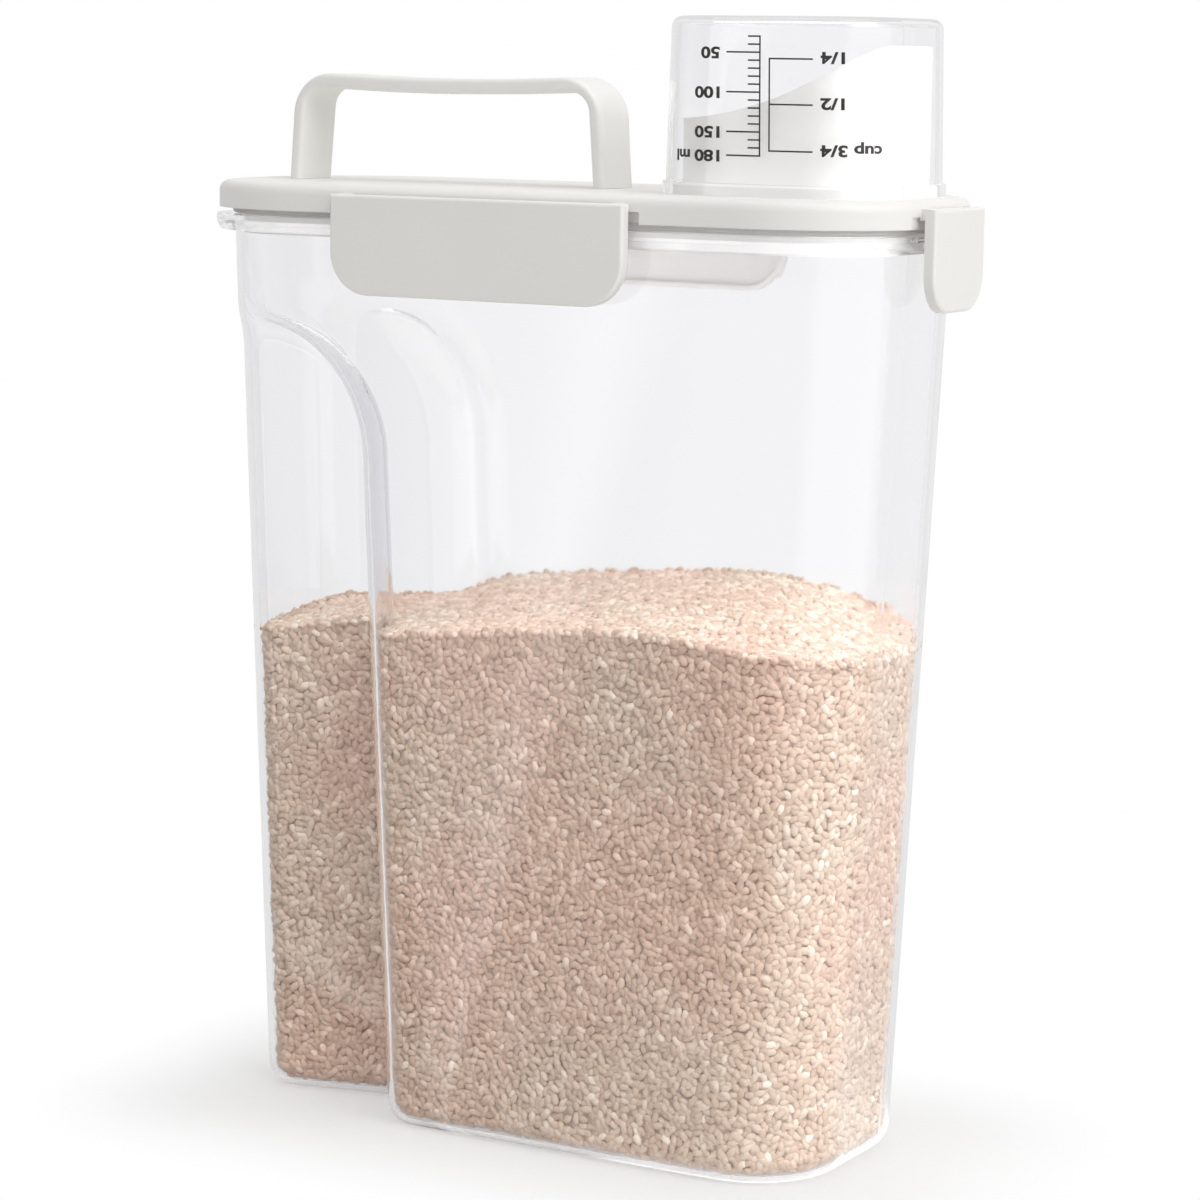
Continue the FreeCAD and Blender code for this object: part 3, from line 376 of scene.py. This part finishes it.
# %% Mould the soft rings
CREASE = math.radians(35)
for part in ("lid_gasket", "spout_seal"):
    skin = bmesh.new()
    skin.from_mesh(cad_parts[part].data)
    bmesh.ops.remove_doubles(skin, verts=skin.verts, dist=WELD)
    bmesh.ops.recalc_face_normals(skin, faces=skin.faces)
    for face in skin.faces:
        face.smooth = True
    soft_mesh = bpy.data.meshes.new(f"{part}_skin")
    skin.to_mesh(soft_mesh)
    skin.free()
    soft_mesh.set_sharp_from_angle(angle=CREASE)
    soft_mesh.materials.append(white_silicone)
    soft = bpy.data.objects.new(f"{part}_skin", soft_mesh)
    bpy.context.scene.collection.objects.link(soft)
    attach(soft, "lid")
    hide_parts(part)
    print(f"{soft.name}: {len(soft_mesh.polygons)} faces")

# %% [markdown]
# ## The rice as one body
# Rice fills a vessel right up to its walls, so the body of rice is cast from the hopper itself. A copy of
# the hopper is welded and sliced at the level of the rice. That parts its outer wall from its inner one:
# the outer one goes, and the inner one, turned inside out, is the skin of the rice. It is drawn in by half
# a grain, so that the grains laid on it later touch the wall without going through it.

# %% Cast the rice from the hopper
LEVEL = 0.187
HALF_GRAIN = 1.5 * MM
cast = bmesh.new()
cast.from_mesh(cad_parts["container_body"].data)
bmesh.ops.remove_doubles(cast, verts=cast.verts, dist=WELD)
bmesh.ops.bisect_plane(cast, geom=[*cast.verts, *cast.edges, *cast.faces], dist=WELD, plane_co=(0, 0, LEVEL),
                       plane_no=(0, 0, 1), clear_outer=True)
outer, ahead = set(), [min(cast.verts, key=lambda vert: vert.co.z)]
while ahead:
    here = ahead.pop()
    if here not in outer:
        outer.add(here)
        ahead.extend(edge.other_vert(here) for edge in here.link_edges)
bmesh.ops.delete(cast, geom=list(outer), context="VERTS")
bmesh.ops.reverse_faces(cast, faces=cast.faces)
cast.normal_update()
for vert in cast.verts:
    vert.co -= vert.normal * HALF_GRAIN
print("skin of the rice:", len(cast.faces), "faces, down to", round(min(v.co.z for v in cast.verts), 4))

# %% [markdown]
# ## The heaped top
# Poured rice settles into a low heap, here with its crest towards the spout end and the back; it falls away
# gently to the grip and more steeply to the spout end. The open top is closed with one face, which planes
# cut into a grid so that it can bend, and then each of its points sinks to the heap, in step with the lean
# of the end walls. The result is kept twice: as the skin that the grains are laid on, and a little smaller
# as the core behind them, which is coloured a darker brown as painted shade.

# %% Close and heap the top
CREST_X, CREST_Z, FALL, TILT, GRID = 0.042, 0.1796, 0.0166, 0.11, 9 * MM
GRIP_SPREAD, GRIP_POWER = 0.157, 1.3
END_SPREAD, END_POWER, END_EVEN, END_BACK = 0.074, 1.9, 0.7, 6.0
END_LEAN, CUTS = 0.045, 13
BEHIND = 0.6 * MM


def heap(place):
    """The height of the heap over a place on the base."""
    run = place.x - CREST_X
    if run < 0:
        fall = (-run / GRIP_SPREAD) ** GRIP_POWER
    else:
        fall = (END_EVEN + END_BACK * place.y) * (run / END_SPREAD) ** END_POWER
    return CREST_Z - FALL * fall + TILT * place.y


top = bmesh.ops.holes_fill(cast, edges=[edge for edge in cast.edges if edge.is_boundary], sides=0)["faces"]
bmesh.ops.triangulate(cast, faces=top)
for direction in (Vector((1, 0, 0)), Vector((0, 1, 0))):
    for step in range(-CUTS, CUTS + 1):
        flat = [face for face in cast.faces if min(vert.co.z for vert in face.verts) > LEVEL - HALF_GRAIN]
        edges = (edge for face in flat for edge in face.edges)
        corners = (vert for face in flat for vert in face.verts)
        bmesh.ops.bisect_plane(cast, geom=list({*flat, *edges, *corners}), dist=WELD,
                               plane_co=direction * step * GRID, plane_no=direction)
for vert in cast.verts:
    drop = max(vert.co.z - heap(vert.co), 0)
    vert.co -= Vector((math.copysign(END_LEAN * drop, vert.co.x), 0, drop))
bmesh.ops.recalc_face_normals(cast, faces=cast.faces)
skin_mesh = bpy.data.meshes.new("rice_skin")
cast.to_mesh(skin_mesh)
cast.normal_update()
for vert in cast.verts:
    vert.co -= vert.normal * BEHIND
core_mesh = bpy.data.meshes.new("rice_core")
cast.to_mesh(core_mesh)
print("rice core:", len(core_mesh.polygons), "faces, volume", round(cast.calc_volume() * 1000, 2), "litres")
cast.free()

# %% [markdown]
# ## One grain
# A short rice grain is a plump oval about five millimetres long, a little flattened, blunter at the end
# where the germ was. Thousands are needed, so a coarse sphere with a few dozen faces is stretched into
# shape and shaded smooth.

# %% Shape a grain
LONG, WIDE, THICK = 4.7 * MM, 3.0 * MM, 2.2 * MM
GERM_FROM, BLUNT = 0.2, (0.92, 1.12, 1.08)
seed_mesh = bpy.data.meshes.new("grain")
seed = bmesh.new()
bmesh.ops.create_uvsphere(seed, u_segments=6, v_segments=4, radius=0.5)
bmesh.ops.rotate(seed, verts=seed.verts, matrix=Matrix.Rotation(math.pi / 2, 3, "Y"))
bmesh.ops.scale(seed, verts=seed.verts, vec=(LONG, WIDE, THICK))
germ_end = [vert for vert in seed.verts if vert.co.x > GERM_FROM * LONG]
bmesh.ops.scale(seed, verts=germ_end, vec=BLUNT)
for face in seed.faces:
    face.smooth = True
seed.to_mesh(seed_mesh)
seed.free()
grain_object = bpy.data.objects.new("grain", seed_mesh)
bpy.context.scene.collection.objects.link(grain_object)
sides = [round(side / MM, 1) for side in grain_object.dimensions]
print("grain:", len(seed_mesh.polygons), "faces,", sides, "mm")

# %% [markdown]
# ## Polished rice
# Polished rice is slightly see-through, cream to pale pink-brown, with a soft gloss. No two grains match:
# some are chalky white, some glassy and darker. Each grain carries a random number that picks its colour,
# and over some centimetres the rice drifts between a pinkish and a greyish cream. The grains on top pick
# from a paler set of shades, painted light for the brighter light that falls on the top. Between the grains
# one looks into shade, so the core behind them is painted shade: the same rice in a darker brown.

# %% Make the rice materials
CHALK, BATCH, MOTTLE = 1.6 * MM, 60 * MM, 3 * MM
# Up to 0.6 the shades are the grains' own; from 0.62 up they are a paler set for the top, painted light.
SHADES = ((0.0, "#BAA697"), (0.22, "#C6B4A5"), (0.44, "#CDBDAF"), (0.57, "#D6C9BD"), (0.6, "#E8E0D6"),
          (0.62, "#CFBDAF"), (0.8, "#D9C8BB"), (1.0, "#EEE6DD"))
rice, tree = blank_material("polished_short_grain_rice")
pick = node(tree, "ShaderNodeAttribute", attribute_name="pick").outputs["Fac"]
spot = node(tree, "ShaderNodeTexCoord").outputs["Object"]
chalk = node(tree, "ShaderNodeTexNoise", {"Vector": spot, "Scale": 1 / CHALK, "Detail": 2.0}).outputs[0]
kinds = node(tree, "ShaderNodeValToRGB", {"Fac": pick})
for place, code in SHADES[1:-1]:
    kinds.color_ramp.elements.new(place)
for stop, (place, code) in zip(kinds.color_ramp.elements, SHADES):
    stop.position, stop.color = place, linear(code)
batch = node(tree, "ShaderNodeTexNoise", {"Vector": spot, "Scale": 1 / BATCH, "Detail": 1.0}).outputs[0]
sort = node(tree, "ShaderNodeMapRange", {"Value": batch, "From Min": 0.38, "From Max": 0.62}).outputs[0]
cast_tint = node(tree, "ShaderNodeMix", {0: sort, 6: linear("#FFEDE3"), 7: linear("#FBF4EB")},
                 data_type="RGBA").outputs[2]
body = node(tree, "ShaderNodeMix", {0: 1.0, 6: kinds.outputs[0], 7: cast_tint}, data_type="RGBA",
            blend_type="MULTIPLY").outputs[2]
gloss = node(tree, "ShaderNodeMapRange", {"Value": chalk, "To Min": 0.32, "To Max": 0.55}).outputs[0]
kernel = node(tree, "ShaderNodeBsdfPrincipled", {"Base Color": body, "Roughness": gloss, "IOR": 1.5})
node(tree, "ShaderNodeOutputMaterial", {"Surface": kernel.outputs[0]})

# The core's darker brown is painted shade for the gaps between the grains.
painted_shade_rice, tree = blank_material("rice_in_shade")
spot = node(tree, "ShaderNodeTexCoord").outputs["Object"]
mottle = node(tree, "ShaderNodeTexNoise", {"Vector": spot, "Scale": 1 / MOTTLE, "Detail": 3.0}).outputs[0]
painted_shade_brown = node(tree, "ShaderNodeMix", {0: mottle, 6: linear("#B09D8F"), 7: linear("#C0AE9F")},
            data_type="RGBA").outputs[2]
dim = node(tree, "ShaderNodeBsdfPrincipled",
           {"Base Color": painted_shade_brown, "Roughness": 0.8, "Specular IOR Level": 0.2})
node(tree, "ShaderNodeOutputMaterial", {"Surface": dim.outputs[0]})
core_mesh.materials.append(painted_shade_rice)
print("made", rice.name, "and", painted_shade_rice.name)

# %% [markdown]
# ## Scatter the grains
# Laying some 25,000 grains by hand is no way to work, and copying them in a loop is slow. Geometry nodes
# do it: points are spread over a patch of the skin with a least distance between them, a grain is set on
# every point, turned at random about the wall's normal and tipped a little, and given its random number.
# The finished patch is kept as a plain mesh.

# %% Build the scatter
SPACING, DEEPEST, CROWD = 1.8 * MM, 0.8 * MM, 12
SMALLEST, LARGEST = 0.88, 1.08


def scatter_tree(name, tip, shades, seed_number):
    """The nodes that set grains on a patch, tipped and shaded within limits."""
    group = bpy.data.node_groups.new(name, "GeometryNodeTree")
    group.interface.new_socket("Geometry", in_out="INPUT", socket_type="NodeSocketGeometry")
    group.interface.new_socket("Geometry", in_out="OUTPUT", socket_type="NodeSocketGeometry")
    patch = node(group, "NodeGroupInput").outputs[0]
    points = node(group, "GeometryNodeDistributePointsOnFaces",
                  {"Mesh": patch, "Distance Min": SPACING, "Density Max": CROWD / SPACING ** 2,
                   "Seed": seed_number},
                  distribute_method="POISSON")
    depth = node(group, "FunctionNodeRandomValue", {2: -DEEPEST, 3: 0.0, "Seed": 4},
                 data_type="FLOAT").outputs[1]
    inward = node(group, "ShaderNodeVectorMath", {0: points.outputs["Normal"], "Scale": depth},
                  operation="SCALE").outputs[0]
    placed = node(group, "GeometryNodeSetPosition",
                  {"Geometry": points.outputs["Points"], "Offset": inward}).outputs[0]
    turn = node(group, "FunctionNodeRandomValue",
                {0: (-tip, -tip, -math.pi), 1: (tip, tip, math.pi), "Seed": 5},
                data_type="FLOAT_VECTOR").outputs[0]
    by = node(group, "FunctionNodeEulerToRotation", {0: turn}).outputs[0]
    turned = node(group, "FunctionNodeRotateRotation",
                  {"Rotation": points.outputs["Rotation"], "Rotate By": by},
                  rotation_space="LOCAL").outputs[0]
    size = node(group, "FunctionNodeRandomValue", {2: SMALLEST, 3: LARGEST, "Seed": 6},
                data_type="FLOAT").outputs[1]
    model = node(group, "GeometryNodeObjectInfo", {"Object": grain_object}).outputs["Geometry"]
    laid = node(group, "GeometryNodeInstanceOnPoints",
                {"Points": placed, "Instance": model, "Rotation": turned, "Scale": size}).outputs[0]
    dark, pale = shades
    chance = node(group, "FunctionNodeRandomValue", {2: dark, 3: pale, "Seed": 7},
                  data_type="FLOAT").outputs[1]
    marked = node(group, "GeometryNodeStoreNamedAttribute",
                  {"Geometry": laid, "Name": "pick", "Value": chance},
                  data_type="FLOAT", domain="INSTANCE").outputs[0]
    solid = node(group, "GeometryNodeRealizeInstances", {"Geometry": marked}).outputs[0]
    node(group, "NodeGroupOutput", {"Geometry": solid})
    return group


def lay_grains(name, tip, shades, seed_number):
    """Lays grains over one patch of the skin and returns them as a mesh object."""
    form = bmesh.new()
    form.from_mesh(skin_mesh)
    bmesh.ops.delete(form, geom=[face for face in form.faces if side_of(face) != name], context="FACES")
    patch_mesh = bpy.data.meshes.new(f"{name}_patch")
    form.to_mesh(patch_mesh)
    form.free()
    patch = bpy.data.objects.new(f"{name}_patch", patch_mesh)
    bpy.context.scene.collection.objects.link(patch)
    scatter = patch.modifiers.new("scatter", "NODES")
    scatter.node_group = scatter_tree(f"{name}_scatter", tip, shades, seed_number)
    result = patch.evaluated_get(bpy.context.evaluated_depsgraph_get())
    grains = bpy.data.objects.new(name, bpy.data.meshes.new_from_object(result))
    bpy.context.scene.collection.objects.link(grains)
    bpy.data.objects.remove(patch)
    grains.data.materials.clear()
    grains.data.materials.append(rice)
    triangles = sum(len(face.vertices) - 2 for face in grains.data.polygons)
    print(f"{name}: {len(grains.data.polygons) // len(seed_mesh.polygons)} grains, {triangles} triangles")
    return grains


# %% [markdown]
# The skin is laid in patches, so that no single mesh grows too heavy: the top, the base, the two halves of
# the part behind the grip, the rounded spout end, and the front and back between them. The grains on top
# pick the palest shades, as painted light for the brighter light on the top.

# %% Lay the grains
GRIP_X, END_X, UPWARD, DOWNWARD = -0.045, 0.065, 0.6, -0.8


def side_of(face):
    """The patch that a face of the skin belongs to."""
    middle = face.calc_center_median()
    if face.normal.z > UPWARD:
        return "rice_top"
    if face.normal.z < DOWNWARD:
        return "rice_base"
    if middle.x < GRIP_X:
        return "rice_grip_front" if middle.y < 0 else "rice_grip_back"
    if middle.x > END_X:
        return "rice_end"
    return "rice_front" if middle.y < 0 else "rice_back"


# The top's paler range of picks is painted light; the other patches pick the grains' own shades.
TOP_PAINTED_LIGHT_PICKS, PLAIN_PICKS = (0.62, 1.0), (0.0, 0.6)
FIRST_SEED = 11
LAYERS = (
    ("rice_top", 0.3, TOP_PAINTED_LIGHT_PICKS), ("rice_base", 0.2, PLAIN_PICKS), ("rice_grip_front", 0.28, PLAIN_PICKS),
    ("rice_end", 0.28, PLAIN_PICKS), ("rice_front", 0.28, PLAIN_PICKS), ("rice_back", 0.28, PLAIN_PICKS),
    ("rice_grip_back", 0.28, PLAIN_PICKS),
)
patches = [lay_grains(*layer, FIRST_SEED + number) for number, layer in enumerate(LAYERS)]
bpy.data.objects.remove(grain_object)
core = bpy.data.objects.new("rice_core", core_mesh)
bpy.context.scene.collection.objects.link(core)
for piece in (core, *patches):
    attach(piece, "container")

# %% [markdown]
# ## The scale on the cup
# The cup carries a printed scale that is read while it hangs from the hand, so on the closed container it
# stands on its head. It is drawn flat first: one axis runs along the outside of the cup, the other up its
# wall. Strips make the lines, and text makes the numbers. The flat drawing is then sliced into narrow
# columns, given the thickness of a layer of ink and bent round the cup's wall.

# %% Draw the scale flat
LINE, INK = 0.5 * MM, 0.05 * MM
ML_LINE, ML_SHORT, ML_LONG = 1.5 * MM, -2.6 * MM, -10.0 * MM
PART_LINE, PART_TICK = 4.75 * MM, 19.4 * MM
LEFT_TEXT, RIGHT_TEXT = -12.3 * MM, 21.8 * MM
LETTER, WIDEN, BOLD, HALF_DIGIT = 4.75 * MM, 1.4, 0.035, 0.36
SLANT, MIDDLE = -0.031, 30 * MM
AT_FIFTY, PER_ML, ML_NUDGE, PART_NUDGE = 43.96, 0.2413, -0.35 * MM, 0.3 * MM


def ml_height(millilitres):
    """The height of a mark over the cup's mouth."""
    return (AT_FIFTY - PER_ML * (millilitres - 50)) * MM


drawing = bmesh.new()


def strip(left, right_end, low, high):
    middle = Matrix.Translation(((left + right_end) / 2, (low + high) / 2, 0))
    bmesh.ops.create_grid(drawing, x_segments=1, y_segments=1, size=0.5,
                          matrix=middle @ Matrix.Diagonal((right_end - left, high - low, 1, 1)))


def tick(start, stop, height):
    strip(min(start, stop), max(start, stop), height - LINE / 2, height + LINE / 2)


def word(text, place, height, reads):
    """A broad word that stands on its head; its first or its last letter is at a place along the wall."""
    curve = bpy.data.curves.new(text, "FONT")
    curve.body, curve.size, curve.offset = text, LETTER, BOLD * LETTER
    holder = bpy.data.objects.new(text, curve)
    bpy.context.scene.collection.objects.link(holder)
    outline = bpy.data.meshes.new_from_object(holder.evaluated_get(bpy.context.evaluated_depsgraph_get()))
    outline.transform(Matrix.Diagonal((-WIDEN, -1, 1, 1)))
    ends = sorted(vert.co.x for vert in outline.vertices)
    edge = ends[-1] if reads == "from" else ends[0]
    outline.transform(Matrix.Translation((place - edge, height + HALF_DIGIT * LETTER, 0)))
    drawing.from_mesh(outline)
    bpy.data.objects.remove(holder)
    print(f"{text}: {(ends[-1] - ends[0]) / MM:.1f} mm wide")


strip(ML_LINE - LINE / 2, ML_LINE + LINE / 2, ml_height(180) - LINE / 2, ml_height(30) + LINE / 2)
for amount in range(30, 181, 10):
    tick(ML_LONG if amount in (50, 100, 150, 180) else ML_SHORT, ML_LINE - LINE / 2, ml_height(amount))
for amount, text in ((50, "50"), (100, "100"), (150, "150"), (180, "180 ml")):
    word(text, LEFT_TEXT, ml_height(amount) + ML_NUDGE, "from")
PARTS = ((42.1 * MM, "1/4"), (28.3 * MM, "1/2"), (14.2 * MM, "cup 3/4"))
strip(PART_LINE - LINE / 2, PART_LINE + LINE / 2, PARTS[-1][0] - LINE / 2, PARTS[0][0] + LINE / 2)
for height, text in PARTS:
    tick(PART_LINE + LINE / 2, PART_TICK, height)
    word(text, RIGHT_TEXT, height + PART_NUDGE, "up to")
bmesh.ops.remove_doubles(drawing, verts=drawing.verts, dist=WELD)
print("flat scale:", len(drawing.faces), "faces")

# %% [markdown]
# The cup is oblong with round corners and narrows slightly towards its crown. Seen from the front, a place
# along the wall is first on the flat front, then on the round corner, then on the side.

# %% Bend the scale round the cup
cup_low, cup_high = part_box("measuring_cup")
CUP_X = (cup_low.x + cup_high.x) / 2
HALF_LONG, HALF_WIDE, CORNER, TAPER, TALL = 40 * MM, 36 * MM, 24 * MM, 1.2 * MM, 55 * MM
FLAT_X, FLAT_Y = HALF_LONG - CORNER, HALF_WIDE - CORNER
COLUMN, FIRST_COLUMN, LAST_COLUMN = 1.0 * MM, -45, 60
for column in range(FIRST_COLUMN, LAST_COLUMN + 1):
    bmesh.ops.bisect_plane(drawing, geom=[*drawing.verts, *drawing.edges, *drawing.faces], dist=WELD,
                           plane_co=(column * COLUMN, 0, 0), plane_no=(1, 0, 0))
risen = bmesh.ops.extrude_face_region(drawing, geom=drawing.faces[:])["geom"]
raised = [item for item in risen if isinstance(item, bmesh.types.BMVert)]
bmesh.ops.translate(drawing, verts=raised, vec=(0, 0, INK))


def on_cup(along, height, proud):
    """Bends a place on the flat drawing onto the outside of the cup."""
    radius = CORNER - TAPER * height / TALL
    side, reach = math.copysign(1, along), abs(along)
    angle = min(max(reach - FLAT_X, 0) / radius, math.pi / 2)
    past = max(reach - FLAT_X - radius * math.pi / 2, 0)
    x = min(reach, FLAT_X) + (radius + proud) * math.sin(angle)
    y = -FLAT_Y - (radius + proud) * math.cos(angle) + past
    return Vector((CUP_X + side * x, y, cup_low.z + height))


CLEAR_OF_WALL = 0.01 * MM
for vert in drawing.verts:
    slanted = vert.co.x + SLANT * (vert.co.y - MIDDLE)
    vert.co = on_cup(slanted, vert.co.y, vert.co.z + CLEAR_OF_WALL)
bmesh.ops.recalc_face_normals(drawing, faces=drawing.faces)
scale_mesh = bpy.data.meshes.new("cup_scale")
drawing.to_mesh(scale_mesh)
drawing.free()
cup_scale = bpy.data.objects.new("cup_scale", scale_mesh)
bpy.context.scene.collection.objects.link(cup_scale)

# %% [markdown]
# ## Ink
# The scale is screen-printed: a flat, warm black whose tone is uneven by the mesh of the screen.

# %% Make the ink
SCREEN_MESH = 0.4 * MM
ink, tree = blank_material("screen_printed_ink")
spot = node(tree, "ShaderNodeTexCoord").outputs["Object"]
mesh_marks = node(tree, "ShaderNodeTexNoise",
                  {"Vector": spot, "Scale": 1 / SCREEN_MESH, "Detail": 1.0}).outputs[0]
black = node(tree, "ShaderNodeMix", {0: mesh_marks, 6: linear("#1E1917"), 7: linear("#2E2724")},
             data_type="RGBA").outputs[2]
print_skin = node(tree, "ShaderNodeBsdfPrincipled", {"Base Color": black, "Roughness": 0.5})
node(tree, "ShaderNodeOutputMaterial", {"Surface": print_skin.outputs[0]})
scale_mesh.materials.append(ink)
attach(cup_scale, "cup")
print("scale on the cup:", len(scale_mesh.polygons), "faces")
